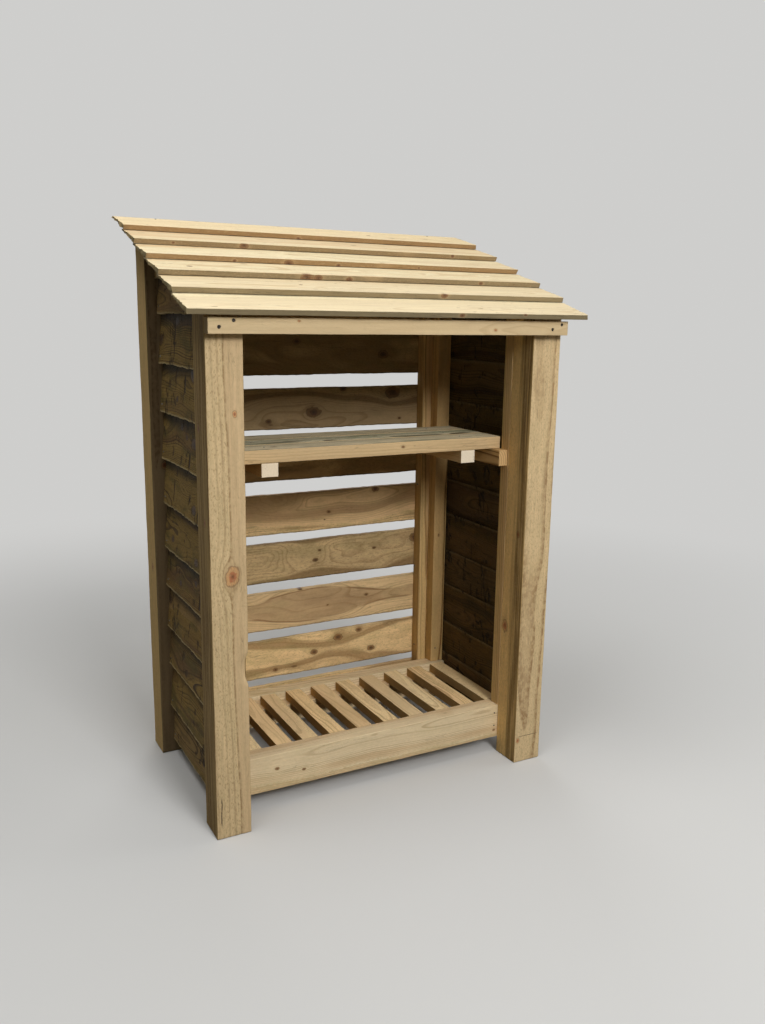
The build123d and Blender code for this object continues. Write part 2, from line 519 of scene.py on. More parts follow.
# %% [markdown]
# ## The finish of sawn, pressure-treated softwood
#
# An image of planks would repeat and would not turn the corner at an arris. This finish is
# solid wood instead: rings lie round the pith, which each timber stores as a place in its
# own section, and every face shows the cut through those rings, lines on a face and arcs on
# an end. A knot pushes the rings aside as a stone does water. On top come the bands of
# heartwood, the mottling of the saw, fissures, and the green cast of the treatment.


# %% Looks
def rgb(red, green, blue):
    """A colour picked on a screen, as the linear colour that a shader takes."""
    parts = [value / 255 for value in (red, green, blue)]
    parts = [v / 12.92 if v <= 0.04045 else ((v + 0.055) / 1.055) ** 2.4 for v in parts]
    return (*parts, 1.0)


plain_look = {
    "light": rgb(214, 190, 146), "line": rgb(158, 124, 80), "heart": rgb(182, 146, 100),
    "stain": rgb(140, 132, 84), "edge": rgb(150, 122, 82), "end": rgb(150, 122, 82),
    "spacing": 0.0058, "rings": 0.6, "bands": 0.35, "mottle": 0.30, "fibre": 0.16,
    "stained": 0.22, "specks": 0.45, "edge_tint": 0.0, "end_tint": 0.45, "fissures": 0.35,
    "torn": 0.0, "waves": 0.028, "ripple": 0.008, "dotted": 0.0, "seam_shade_and_dirt": 0.0, "clouds": 0.16,
    "lap_shade": 0.040, "pale_lip_and_highlight": 0.9, "relief_depth": 0.0012,
    "pin_knots": 0.0, "dashes": 0.0, "cover": 0.0, "relief": 0.55,
    "eye": False, "swirls": False, "cracked": False, "streaks": False,
    "roughness": 0.8, "knot": rgb(176, 110, 72), "knot_heart": rgb(92, 54, 34),
    "collar": rgb(200, 154, 104), "rim": rgb(122, 84, 54),
}


# %% The finish: a bench that knows the timber
class WoodBench(Bench):
    """A bench that reads what a timber stores about itself, and lays colour over colour."""

    def __init__(self, tree, look):
        super().__init__(tree)
        self.look = look
        self.colour = look["light"]
        self.grain = self.read("grain")
        self.along, self.across, self.through = self.split(self.grain)
        self.pith_across, self.pith_through, self.own = self.split(self.read("pith"))
        self.lightness, self.warmth, self.contrast = self.split(self.read("tone"))
        self.at_end, self.at_edge, self.at_face = self.split(self.read("faces"))
        self.below_edge = self.split(self.read("depths"))[1]
        self.lap, self.low_edge, self.zone = self.split(self.read("cover"))
        self.edge_warmth, self.edge_light, self.painted_shade_side = self.split(self.read("sides"))
        self.drift = self.vector(self.own * 13.7, self.own * 5.3, self.own * 9.1)
        self.fibre = self.pattern(0.12, 0.0042, 3.0, 5.0)
        self.mottle = self.pattern(0.012, 0.0065, 3.0, 7.0)
        self.cloud = self.pattern(0.30, 0.08, 2.0, 11.0)

    def read(self, attribute):
        return self.add("ShaderNodeAttribute", {"attribute_name": attribute}, None, "Vector")

    def pattern(self, length, width, detail=2.0, seed=0.0):
        """Noise whose grains have about this length and width in metres, from 0 to 1."""
        stretch = (1 / length, 1 / width, 1 / width)
        place = self.vector_math("MULTIPLY_ADD", self.grain, stretch, self.drift)
        if seed:
            place = self.vector_math("ADD", place, (seed, seed * 1.7, seed * 0.6))
        return self.noise(place, 1.0, detail)

    def distance(self, x, y):
        return (x * x + y * y).math("SQRT")

    def paint(self, share, colour):
        """Lays a colour over what is there, as far as the share says."""
        self.colour = self.mix_colour(share, self.colour, colour)

    def tinted(self, colour, tint):
        return self.mix_colour(1.0, colour, tint, "MULTIPLY")


# %% The finish: knots, and how the rings flow round them
def knots_of(bench):
    """How far a point is from its nearest knot, in knot sizes, and the push on the rings."""
    push_across, push_through, nearest = 0.0, 0.0, None
    for mark in mark_names:
        knot_along, knot_side, knot_reach = bench.split(bench.read(mark.lower().replace(" ", "_")))
        reach = abs(knot_reach).most(0.00002)
        turned = knot_reach < 0.0
        sideways = bench.across + (bench.through - bench.across) * turned - knot_side
        # A side knot ends soon below the narrow face
        buried = bench.below_edge * turned * 0.8
        away = bench.distance(bench.distance((bench.along - knot_along) * 0.68, sideways), buried)
        fade = 1 - away.ramp(reach * 1.5, reach * 7.0)
        held = reach * reach * 1.9
        push = -sideways * held / (away * away).most(held) * fade
        push_across = push_across + push * (1 - turned)
        push_through = push_through + push * turned
        share = away / reach
        nearest = share if nearest is None else nearest.least(share)
    ragged = (bench.pattern(0.014, 0.014, 2.0, 73.0) - 0.5) * 0.8
    return nearest + ragged * nearest.ramp(0.0, 1.0), push_across, push_through


# %% The finish: an eye, and a swirl
def eye_of(bench):
    """The push of an eye on the rings, and its dark bands: the heartwood swells to a long oval."""
    eye_along, eye_across, reach = bench.split(bench.read("swirl"))
    beside = bench.across - eye_across + (bench.pattern(0.20, 0.08, 1.0, 59.0) - 0.5) * 0.03
    away = bench.distance((bench.along - eye_along) * 0.36, beside)
    held = reach * reach
    fade = 1 - away.ramp(reach * 1.1, reach * 2.6)
    push = -beside * held / (away * away).most(held) * fade
    off_heart = abs(beside + push)
    rim = off_heart.hump(0.017, 0.007) * bench.pattern(0.25, 0.05, 1.0, 107.0).ramp(0.38, 0.58)
    bands = (1 - off_heart.ramp(0.012, 0.019)) * (0.35 + bench.pattern(0.2, 0.06, 2.0, 109.0) * 0.9)
    return push, bands.most(rim * 1.5)


def swirl_of(bench):
    """How much deeper the rings seem where the grain winds round a place."""
    swirl_along, swirl_across, reach = bench.split(bench.read("swirl"))
    size = reach.most(0.00002)
    away = bench.distance((bench.along - swirl_along) * 0.42, bench.across - swirl_across)
    away = away + (bench.pattern(0.12, 0.06, 1.0, 79.0) - 0.5) * size * 0.7
    return (1 - (away / size).ramp(0.0, 1.0)) * size * 0.55


# %% The finish: growth rings
def rings_of(bench, push_across, push_through, swirl):
    """Depth from the pith, and how far a point lies in the dark latewood of its ring."""
    look = bench.look
    waves = (bench.pattern(0.42, 0.13, 1.0) - 0.5) * look["waves"]
    waves = waves + (bench.pattern(0.12, 0.045, 1.0, 3.1) - 0.5) * look["ripple"]
    radius = bench.distance(bench.across + push_across - bench.pith_across,
                            bench.through + push_through - bench.pith_through)
    depth = radius + waves + swirl - bench.along * 0.012
    ring = depth / look["spacing"]
    phase = ring.math("FRACT")
    late = phase.ramp(0.45, 0.88) * (1 - phase.ramp(0.92, 1.0))
    weight = bench.noise(bench.vector(ring * 0.38, bench.own * 3.3, 0.0))
    weight = weight.ramp(0.36, 0.64, 0.08, 1.0)
    if look["dotted"]:
        dots = bench.pattern(0.014, 0.010, 2.0, 89.0).ramp(0.38, 0.60)
        late = late * (1 - look["dotted"] + dots * look["dotted"])
    return depth, late * weight * bench.contrast


def paint_rings(bench, depth, late, swirl, eye_bands):
    """Bands of heartwood, the rings, and the green cast where the treatment soaked in."""
    look = bench.look
    # The bands take a swirl more calmly than the rings do
    place = bench.vector((depth - swirl * 0.75) * 34.0, bench.own * 1.9, bench.cloud * 0.6)
    bands = bench.noise(place, detail=1.5).ramp(0.5, 0.64)
    if look["eye"]:
        bands = (bands * 0.15).most(eye_bands)
    bench.paint(bands * look["bands"], look["heart"])
    bench.paint((1 - bench.sap) * 0.22, rgb(204, 168, 132))
    bench.paint(late * look["rings"], look["line"])
    stain = (bench.pattern(0.09, 0.035, 4.0, 17.0) * 0.6 + bench.cloud * 0.4).ramp(0.46, 0.64)
    bench.paint(stain * (0.5 + bench.sap * 0.5) * look["stained"], look["stain"])


# %% The finish: fissures, cracks and torn patches
def crack_of(bench):
    """One crack from the table of marks, along the grain or, where it is negative, across."""
    crack_along, crack_across, crack_half = bench.split(bench.read("crack"))
    wander = (bench.pattern(0.05, 0.2, 2.0, 61.0) - 0.5) * 0.010
    beside = abs(bench.across - crack_across + wander)
    beyond = abs(bench.along - crack_along + wander * 0.3)
    turned = crack_half < 0.0
    width = beside + (beyond - beside) * turned
    length = beyond + (beside - beyond) * turned
    half = abs(crack_half).most(0.00001)
    open_half = bench.split(bench.read("lines"))[2].most(0.0002)
    return (1 - (width / open_half).ramp(0.5, 1.4)) * (1 - (length / half).ramp(0.6, 1.0))


def fissures_of(bench):
    """How far a point lies in a fissure, from 0 to 1."""
    look = bench.look
    line = bench.pattern(0.22, 0.011, 2.0, 29.0).hump(0.5, 0.012)
    fissure = line * bench.pattern(0.25, 0.05, 1.0, 31.0).ramp(0.52, 0.64) * look["fissures"]
    if look["cracked"]:
        fissure = fissure.most(crack_of(bench))
    if look["torn"]:
        line = bench.pattern(0.042, 0.13, 3.0, 37.0).hump(0.5, 0.036)
        mask = bench.pattern(0.10, 0.14, 1.0, 41.0).ramp(0.59, 0.66)
        patch = bench.pattern(0.034, 0.05, 4.0, 43.0).ramp(0.62, 0.67)
        fissure = fissure.most((line * mask).most(patch * 0.7) * look["torn"])
    return fissure


# %% The finish: edges, ends and knots
def paint_edges(bench):
    """The narrow faces and the ends in their own colours, the narrow faces lightened as painted light on the
    right front post and darkened partly as painted shade on the roof, then the timber's warmth over all.
    """
    look = bench.look
    light = bench.edge_light
    edge_colour = bench.tinted(look["edge"], bench.vector(light, light, light))
    warm_edge = bench.tinted(edge_colour, (1.22, 0.90, 0.62, 1))
    edge_colour = bench.mix_colour(bench.edge_warmth, edge_colour, warm_edge)
    # Narrow faces: painted light on the right front post, partly painted shade on the roof boards and the
    # slats
    bench.paint(bench.at_edge * look["edge_tint"], edge_colour)
    bench.paint(bench.at_end * look["end_tint"], look["end"])
    bench.paint(bench.warmth, bench.tinted(bench.colour, (1.10, 0.95, 0.80, 1)))


def paint_knots(bench, core):
    """A thin brown rim, a pale collar, and a core with a dark heart."""
    look = bench.look
    inside = 1 - core.ramp(0.86, 1.0)
    middle = 1 - (core + (bench.pattern(0.008, 0.008, 1.0, 23.0) - 0.5) * 0.3).ramp(0.45, 0.70)
    core_colour = bench.mix_colour(core.ramp(0.0, 0.40, 0.8, 0.0), look["knot"], look["knot_heart"])
    bench.paint((1 - core.ramp(0.9, 2.3)) * 0.22, look["heart"])
    bench.paint(inside * 0.92, bench.mix_colour(middle, look["collar"], core_colour))
    bench.paint(core.hump(1.0, 0.16) * 0.6, look["rim"])
    return inside


def paint_pin_knots(bench):
    """Pin knots: the Voronoi cells are many, and one in five holds a dark dot."""
    look = bench.look
    seeds = bench.vector_math("MULTIPLY_ADD", bench.grain, (6.0, 16.0, 9.0), bench.drift)
    cells = bench.add("ShaderNodeTexVoronoi", {"feature": "F1"}, {"Vector": seeds, "Scale": 1.0})
    outputs = cells.socket.node.outputs
    near = Value(bench, outputs["Distance"])
    chosen = bench.split(Value(bench, outputs["Color"]))[0] > 0.80
    bench.paint((1 - near.ramp(0.06, 0.32)) * chosen * 0.4 * look["pin_knots"], look["heart"])
    bench.paint((1 - near.ramp(0.04, 0.09)) * chosen * 0.8 * look["pin_knots"], rgb(88, 58, 36))


# %% The finish: dashes, laps, streaks and seams
def paint_dashes(bench):
    """Short dark dashes that the saw drags out."""
    dashes = bench.pattern(0.035, 0.005, 2.0, 67.0).ramp(0.66, 0.74)
    dashes = dashes * bench.pattern(0.12, 0.03, 1.0, 71.0).ramp(0.5, 0.6)
    bench.paint(dashes * bench.look["dashes"], rgb(132, 104, 70))


def paint_laps(bench, shaded_face):
    """Painted shade, partly dirt, under the board above; a pale lip on a board's lower edge, partly torn
    wood and partly a painted highlight; and a painted highlight on the upper edge of a shaded inner face.
    """
    look = bench.look
    ragged = (bench.mottle - 0.5) * 0.012 + (bench.cloud - 0.5) * 0.03
    # Painted shade under the board above, partly real dirt, on the outer face
    shade_and_dirt_under_lap = bench.across + ragged * look["lap_shade"] * 25 - bench.lap
    shade_and_dirt_under_lap = shade_and_dirt_under_lap.ramp(-look["lap_shade"], -0.002) * (1 - shaded_face)
    # The pale lip of the lower edge: partly torn wood, partly a painted highlight on its arris
    pale_lip_and_highlight = (1 - (bench.below_edge + ragged * 0.1).ramp(0.002, 0.0095)) * (bench.across < 0.0)
    # A painted highlight along the upper edge of a shaded inner face
    head = (bench.across + bench.low_edge + ragged * 0.3).ramp(-0.014, -0.004) * shaded_face
    bench.paint(shade_and_dirt_under_lap * 0.9 * look["cover"], rgb(34, 29, 19))
    bench.paint(pale_lip_and_highlight.most(head * 0.6) * look["pale_lip_and_highlight"] * look["cover"], look["edge"])


def paint_streak(bench):
    """A dark streak along the side faces: the heartwood of the right post, and on the left post a darkening
    over the whole side faces, partly own colour and partly painted shade.
    """
    streak_at, half = bench.split(bench.read("lines"))[:2]
    sway = (bench.pattern(0.35, 0.020, 2.0, 97.0) - 0.5) * 0.045
    streak = 1 - abs(bench.through + sway - streak_at).ramp(half * 0.5, half * 1.3 + 0.001)
    grained = bench.pattern(0.30, 0.006, 2.0, 101.0).ramp(0.36, 0.60, 0.45, 1.0)
    # The streak's dark colour; on the left post it is partly painted shade
    bench.paint(streak * bench.at_edge * (half > 0.001) * grained * 0.8, rgb(96, 70, 34))


def paint_seams(bench):
    """Painted shade, partly dirt, along the arrises of the broad faces, most of it on the lower one."""
    seam = 1 - (bench.below_edge + (bench.mottle - 0.5) * 0.004).ramp(0.0005, 0.0065)
    seam = seam * (1 - bench.at_edge) * (0.45 + (bench.across < 0.0) * 0.55)
    # Painted shade, partly dirt, along the seams between boards
    bench.paint(seam * bench.look["seam_shade_and_dirt"], rgb(52, 42, 28))


# %% The finish: all of it
def wood(name, changes):
    """The finish of one kind of timber on the store."""
    look = {**plain_look, **changes}
    material, plain_bench, output = new_material(name)
    bench = WoodBench(plain_bench.tree, look)
    core, push_across, push_through = knots_of(bench)
    swirl = swirl_of(bench) if look["swirls"] else 0.0
    eye_push, eye_bands = eye_of(bench) if look["eye"] else (0.0, None)
    depth, late = rings_of(bench, push_across + eye_push, push_through, swirl)
    # Heartwood near the pith is smoother and pinker, sapwood takes the green and the rough saw
    bench.sap = (depth - bench.zone).ramp(-0.0015, 0.0015)
    paint_rings(bench, depth, late, swirl, eye_bands)
    paint_edges(bench)
    inside = paint_knots(bench, core)
    if look["pin_knots"]:
        paint_pin_knots(bench)
    if look["dashes"]:
        paint_dashes(bench)
    # The broad face that the Sides table darkens as painted shade
    shaded_face = ((bench.through * bench.painted_shade_side) > 0.0) * bench.at_face
    if look["cover"]:
        paint_laps(bench, shaded_face)
    if look["streaks"]:
        paint_streak(bench)
    if look["seam_shade_and_dirt"]:
        paint_seams(bench)
    fissure = fissures_of(bench)
    bench.paint(fissure * 0.9, rgb(38, 28, 19))

    # Specks where the saw tore the fibres
    specks = bench.pattern(0.0075, 0.0036, 2.0, 83.0).ramp(0.54, 0.66) * look["specks"]
    specks = specks * (1 - bench.at_edge * 0.6)
    bench.paint(specks * (0.2 + bench.sap * 0.8), look["heart"])

    # Light and dark by fibre, saw mottling and board, and painted shade on the broad face that Sides names
    speck = look["mottle"] * (0.55 + bench.sap * 0.45)
    shade = (1 + (bench.fibre - 0.5) * look["fibre"]) * (1 + (bench.mottle - 0.5) * speck)
    shade = shade * (1 + (bench.cloud - 0.5) * look["clouds"])
    shade = shade * bench.lightness * (1 - shaded_face * abs(bench.painted_shade_side))
    colour = bench.tinted(bench.colour, bench.vector(shade, shade, shade))

    # Relief of the saw and the fibres. A Bump node works its height out three times over, so
    # the rings, which are costly, stay out of it
    height = bench.fibre * 0.6 + bench.mottle * 1.1 - fissure * 2.5 - specks * 0.8
    bump = bench.add("ShaderNodeBump", None, {"Strength": look["relief"],
                                              "Distance": look["relief_depth"], "Height": height})
    roughness = look["roughness"] + (bench.mottle - 0.5) * 0.12 - inside * 0.2
    shader = bench.add("ShaderNodeBsdfPrincipled", None,
                       {"Base Color": colour, "Roughness": roughness, "Normal": bump,
                        "Specular IOR Level": 0.25})
    bench.tree.links.new(shader.socket, output.inputs["Surface"])
    return material


# %% The finishes
brown_knots = {"knot": rgb(118, 86, 56), "knot_heart": rgb(62, 42, 28),
               "collar": rgb(150, 114, 74), "rim": rgb(88, 62, 42)}
back_look = {"light": rgb(220, 190, 140), "heart": rgb(122, 90, 52), "line": rgb(132, 98, 58),
             "bands": 0.66, "rings": 0.42, "pin_knots": 0.8, "spacing": 0.0070, "specks": 0.3,
             "waves": 0.095, "mottle": 0.46, "clouds": 0.5, "stained": 0.35, "seam_shade_and_dirt": 0.75,
             "knot": rgb(92, 62, 38), "knot_heart": rgb(44, 30, 20),
             "collar": rgb(134, 98, 60), "rim": rgb(66, 44, 28)}
looks = {
    "posts": dict(light=rgb(212, 187, 144), line=rgb(146, 114, 76), heart=rgb(182, 154, 112),
                  rings=0.85, spacing=0.0135, dotted=0.55, bands=0.15, stained=0.10, fibre=0.36,
                  specks=0.8, mottle=0.38, waves=0.014, ripple=0.0045, edge=rgb(210, 178, 118),
                  edge_tint=0.8, cracked=True, streaks=True),
    "header": dict(light=rgb(226, 204, 160), rings=0.35, mottle=0.12, bands=0.2,
                   fissures=0.1, specks=0.12, stained=0.06),
    # Roof: front edges darker than the tops, partly own colour and partly painted shade; cover paints a thin
    # shadow where the board above lies
    "roof": dict(light=rgb(236, 222, 184), line=rgb(196, 164, 116), heart=rgb(222, 190, 144),
                 edge=rgb(144, 127, 92), edge_tint=0.88, rings=0.5, stained=0.10, pin_knots=0.8,
                 dashes=0.9, mottle=0.18, fissures=0.3, end=rgb(150, 132, 88), end_tint=0.8,
                 cover=0.6, specks=0.38, fibre=0.3, waves=0.05, bands=0.6, lap_shade=0.012,
                 pale_lip_and_highlight=0.0, knot=rgb(116, 80, 54), knot_heart=rgb(60, 42, 30),
                 collar=rgb(136, 102, 70)),
    "sides": dict(light=rgb(156, 128, 72), line=rgb(62, 47, 27), heart=rgb(98, 72, 46),
                  stain=rgb(88, 80, 42), edge=rgb(206, 184, 138), edge_tint=0.6, stained=0.7,
                  torn=1.0, fissures=0.8, relief=1.0, relief_depth=0.0040, cover=1.0, rings=0.9,
                  spacing=0.0058, waves=0.07, bands=0.75, mottle=0.42, knot=rgb(66, 46, 28),
                  rim=rgb(40, 29, 19), knot_heart=rgb(26, 19, 13), collar=rgb(88, 66, 40),
                  swirls=True, cracked=True),
    "back": dict(swirls=True, **back_look),
    "back_with_eye": dict(eye=True, **back_look),
    "floor": dict(light=rgb(222, 204, 166), rings=0.7, pin_knots=0.6, specks=0.35,
                  clouds=0.35, bands=0.5, waves=0.04, **brown_knots),
    "shelf": dict(light=rgb(222, 217, 186), line=rgb(84, 78, 52), stain=rgb(122, 132, 98),
                  stained=0.6, edge=rgb(204, 176, 132), edge_tint=0.8, rings=1.0, waves=0.03,
                  spacing=0.0085, clouds=0.4, heart=rgb(104, 98, 66), bands=0.85, seam_shade_and_dirt=1.0,
                  **brown_knots),
    # Slats: the narrow faces are darker, partly own colour and partly painted shade in the gaps
    "slats": dict(light=rgb(242, 218, 170), rings=0.55, pin_knots=0.5, specks=0.3,
                  edge=rgb(164, 132, 78), edge_tint=0.8, **brown_knots),
    "battens": dict(light=rgb(206, 178, 124), rings=0.9, end=rgb(196, 168, 124),
                    line=rgb(128, 92, 50), waves=0.012, ripple=0.003, spacing=0.0075,
                    **brown_knots),
    "shelf_battens": dict(end=rgb(232, 222, 202), end_tint=0.95, mottle=0.1, specks=0.1),
}
finishes = {name: wood(name, changes) for name, changes in looks.items()}
node_counts = [len(finish.node_tree.nodes) for finish in finishes.values()]
print(len(finishes), "finishes of", min(node_counts), "to", max(node_counts), "nodes")

# %% [markdown]
# ## Sawing every timber
#
# A table says for each family of nodes which way its grain runs, how rough it was sawn and
# what it is finished with. The rest is measured. Each timber gets its own pith, tone and
# seed from one seeded draw, in the order of the names, so a rerun gives the same wood.

# %% Families
X, Y, Z = (1, 0, 0), (0, 1, 0), (0, 0, 1)
up_the_roof = (0, 0.937, 0.350)
# A cut: eased arris, wander of the near and the far edge, fray of the ends, unevenness
cut_labels = ("Arris", "Edge Wander", "Far Wander", "End Fray", "Unevenness")
post_cut = (0.0020, 0.0012, 0.0012, 0.0010, 0.0009)
batten_cut = (0.0012, 0.0006, 0.0006, 0.0006, 0.0005)
small_cut = (0.0010, 0.0006, 0.0006, 0.0006, 0.0005)
rail_cut = (0.0014, 0.0006, 0.0006, 0.0008, 0.0006)
# A family: the way of the grain, the way across it, the finish and the cut
families = {
    "front_post": (Z, X, "posts", post_cut),
    "rear_post": (Z, X, "posts", post_cut),
    "front_upright": (Z, X, "battens", batten_cut),
    "rear_upright": (Z, X, "battens", batten_cut),
    "back_batten": (Z, X, "battens", batten_cut),
    "roof_bearer": (Y, Z, "battens", batten_cut),
    "front_header": (X, Z, "header", (0.0012, 0.0005, 0.0005, 0.0006, 0.0004)),
    "roof_board": (X, up_the_roof, "roof", (0.0008, 0.0024, 0.0024, 0.0075, 0.0009)),
    "back_board": (X, Z, "back", (0.0010, 0.0036, 0.0030, 0.0020, 0.0010)),
    "floor_front": (X, Z, "floor", rail_cut),
    "floor_rear": (X, Z, "floor", rail_cut),
    "floor_slats": (Y, X, "slats", (0.0010, 0.0022, 0.0022, 0.0010, 0.0009)),
    "shelf_board": (X, Y, "shelf", (0.0014, 0.0012, 0.0012, 0.0012, 0.0008)),
    "shelf_batten": (Y, X, "shelf_battens", small_cut),
    "shelf_support": (Y, Z, "battens", small_cut),
    "side_cladding": (Y, Z, "sides", (0.0008, 0.0090, 0.0015, 0.0060, 0.0018)),
}


def family_of(node):
    return next(name for name in families if node.startswith(name))


draw = random.Random(20)
print(len(families), "families of timber")

# %% [markdown]
# ## Marks that make this store itself
#
# The eye knows a real thing by its few large marks: the red knot on the left post, the
# swirl on a back board, the bite out of an arris. Noise can't be told to put them there, so
# they stand in a table, in millimetres from the left front foot. A knot goes through the
# broad face and a side knot through the narrow one. A crack has half its length and half its
# width, and with a negative length it runs across the grain. An eye is a long oval that the
# grain parts round. Wall boards are numbered from the ground up.

# %% Marks
wood_marks = {
    "front_post_left": [("knot", (60, 0, 741), 18), ("knot", (74, 0, 1161), 6),
                        ("chip", (100, 0, 482), 24), ("crack", (16, 0, 80), 48, 1.6),
                        ("side", (0, 70, 1120), 9), ("side", (0, 40, 880), 7)],
    "front_post_right": [("knot", (1003, 0, 76), 6), ("crack", (1040, 0, 88), -44, 0.8),
                         ("side", (990, 81, 442), 14), ("side", (990, 33, 753), 8)],
    "side_cladding_left 10": [("crack", (33, 398, 1330), -62, 4.0), ("knot", (33, 545, 1330), 16),
                              ("knot", (33, 385, 1385), 12)],
    "side_cladding_left 9": [("crack", (33, 318, 1212), -32, 6.0), ("knot", (33, 387, 1168), 8),
                             ("knot", (33, 240, 1245), 20)],
    "side_cladding_left 8": [("crack", (33, 275, 1003), -26, 6.0), ("knot", (33, 365, 1090), 10),
                             ("knot", (33, 313, 1066), 8), ("knot", (33, 241, 1056), 16)],
    "side_cladding_left 7": [("crack", (33, 453, 893), -40, 3.5), ("knot", (33, 250, 870), 13),
                             ("swirl", (33, 330, 960), 90)],
    "side_cladding_left 6": [("knot", (33, 579, 718), 10), ("knot", (33, 478, 737), 10),
                             ("knot", (33, 237, 722), 11), ("swirl", (33, 300, 830), 90)],
    "side_cladding_left 5": [("knot", (33, 411, 617), 9), ("knot", (33, 263, 654), 9),
                             ("crack", (33, 218, 610), -28, 6.0)],
    "side_cladding_left 4": [("knot", (33, 555, 528), 15), ("crack", (33, 220, 520), -25, 4.0)],
    "front_header": [("knot", (833, -30, 1372), 4), ("knot", (237, -30, 1391), 3)],
    "rear_post_left": [("knot", (40, 568, 950), 9), ("side", (0, 610, 620), 8)],
    "rear_post_right": [("knot", (1040, 668, 700), 14), ("side", (1090, 620, 1150), 10)],
    "rear_upright_right": [("knot", (1010, 528, 640), 4)],
    "roof_board_1": [("side", (707, -49, 1411), 6), ("side", (918, -49, 1416), 4)],
    "roof_board_2": [("side", (722, 72, 1468), 8), ("knot", (310, 130, 1490), 4)],
    "roof_board_3": [("side", (352, 193, 1508), 13), ("side", (388, 193, 1507), 9),
                     ("side", (483, 193, 1505), 7), ("side", (926, 193, 1508), 5),
                     ("knot", (40, 240, 1520), 6)],
    "roof_board_4": [("side", (189, 315, 1551), 4), ("side", (350, 315, 1549), 10),
                     ("side", (505, 315, 1550), 5), ("side", (778, 315, 1553), 3)],
    "roof_board_5": [("side", (52, 436, 1600), 3), ("side", (260, 436, 1602), 9),
                     ("side", (974, 436, 1603), 5)],
    "roof_board_6": [("side", (482, 557, 1640), 5), ("knot", (760, 620, 1660), 5)],
    "back_board_8": [("knot", (497, 610, 1322), 9), ("knot", (818, 610, 1279), 13)],
    "back_board_7": [("knot", (397, 610, 1065), 7), ("knot", (558, 610, 1090), 17),
                     ("knot", (666, 610, 1165), 8), ("knot", (858, 610, 1148), 18),
                     ("knot", (885, 610, 1058), 4)],
    "back_board_6": [("swirl", (700, 610, 905), 70)],
    "back_board_5": [("knot", (614, 610, 745), 5), ("knot", (793, 610, 811), 9),
                     ("knot", (598, 610, 719), 2), ("swirl", (440, 610, 790), 45)],
    "back_board_4": [("knot", (564, 610, 579), 7), ("knot", (791, 610, 598), 5),
                     ("knot", (962, 610, 620), 16), ("knot", (580, 610, 612), 4),
                     ("swirl", (520, 610, 610), 70)],
    "back_board_3": [("knot", (762, 610, 428), 5), ("knot", (506, 610, 482), 5),
                     ("knot", (610, 610, 410), 3), ("eye", (555, 610, 420), 52)],
    "back_board_2": [("knot", (558, 610, 243), 9), ("knot", (651, 610, 284), 12),
                     ("knot", (784, 610, 222), 10), ("knot", (412, 610, 202), 6),
                     ("knot", (733, 610, 300), 8)],
    "floor_front_rail": [("knot", (979, 100, 76), 4), ("knot", (300, 100, 95), 4),
                         ("knot", (216, 100, 116), 5)],
    "shelf_board_1": [("knot", (251, 191, 1045), 7), ("side", (640, 143, 1030), 4)],
    "shelf_board_2": [("knot", (628, 300, 1045), 6), ("knot", (447, 260, 1045), 5)],
}
print(sum(len(marks) for marks in wood_marks.values()), "marks")

# %% Timbers whose rings or colour are known
# Pith: place across and through, and a seed. Tone: lightness, warmth and contrast. Sides:
# warmth and lightness of the narrow faces, and which broad face gets painted shade, and by
# how much. zone: how deep the heartwood reaches. streak: place and half width of a dark streak.
natures = {
    # The left post's streak spans its whole side faces, partly own colour and partly painted shade
    "front_post_left": {"Pith": (0.068, 0.0, 3.0), "zone": 0.0765, "Tone": (0.94, 0.1, 1.05),
                        "streak": (0.0, 0.08)},
    # The right post's narrow faces are lightened as painted light
    "front_post_right": {"Pith": (-0.02, 0.065, 11.0), "zone": 0.03, "Tone": (0.98, 0.15, 1.15),
                         "streak": (-0.026, 0.030), "Sides": (0.0, 1.36, 0.0)},
    # The left rear post's front face is darkened as painted shade
    "rear_post_left": {"Tone": (1.1, 0.2, 0.9), "Sides": (0.0, 1.0, -0.6)},
    "rear_upright_right": {"Tone": (1.0, 0.5, 1.3), "zone": 0.02},
    "front_header": {"Tone": (0.88, 0.1, 1.1)},
    "back_board_2": {"Tone": (1.12, 0.1, 1.1)},
    "back_board_3": {"Pith": (0.0, -0.035, 7.0), "Tone": (1.03, 0.0, 1.2),
                     "Material": finishes["back_with_eye"]},
    "back_board_4": {"Tone": (0.77, 0.15, 0.8)},
    # Board 5's lightness is raised as painted light where the shelf's shadow falls
    "back_board_5": {"Tone": (1.15, 0.2, 1.0)},
    # Boards 7 and 8 are darkened as painted shade under the roof
    "back_board_7": {"Tone": (0.58, 0.1, 0.9)},
    "back_board_8": {"Tone": (0.72, 0.0, 1.0)},
    "floor_front_rail": {"Tone": (1.10, 0.0, 0.8)},
    # The roof boards' narrow front faces are darkened, partly as painted shade
    "roof_board_1": {"Tone": (0.96, 0.0, 1.0), "Sides": (0.0, 0.70, 0.0)},
    "roof_board_2": {"Tone": (0.95, 0.0, 1.0), "Sides": (0.05, 0.82, 0.0)},
    "roof_board_3": {"Tone": (0.93, 0.05, 1.1), "Sides": (0.25, 0.78, 0.0)},
    "roof_board_4": {"Tone": (0.93, 0.15, 1.0), "Sides": (1.0, 0.85, 0.0)},
    "roof_board_5": {"Tone": (0.90, 0.3, 1.0), "Sides": (0.45, 0.80, 0.0)},
    "roof_board_6": {"Tone": (0.90, 0.5, 1.2), "Sides": (0.85, 0.85, 0.0)},
    # The inner faces of both side walls are darkened as painted shade
    "side_cladding_left": {"Sides": (0.0, 1.0, 0.55)},
    "side_cladding_right": {"Sides": (0.0, 1.0, -0.68)},
}
print(len(natures), "timbers of a known nature")

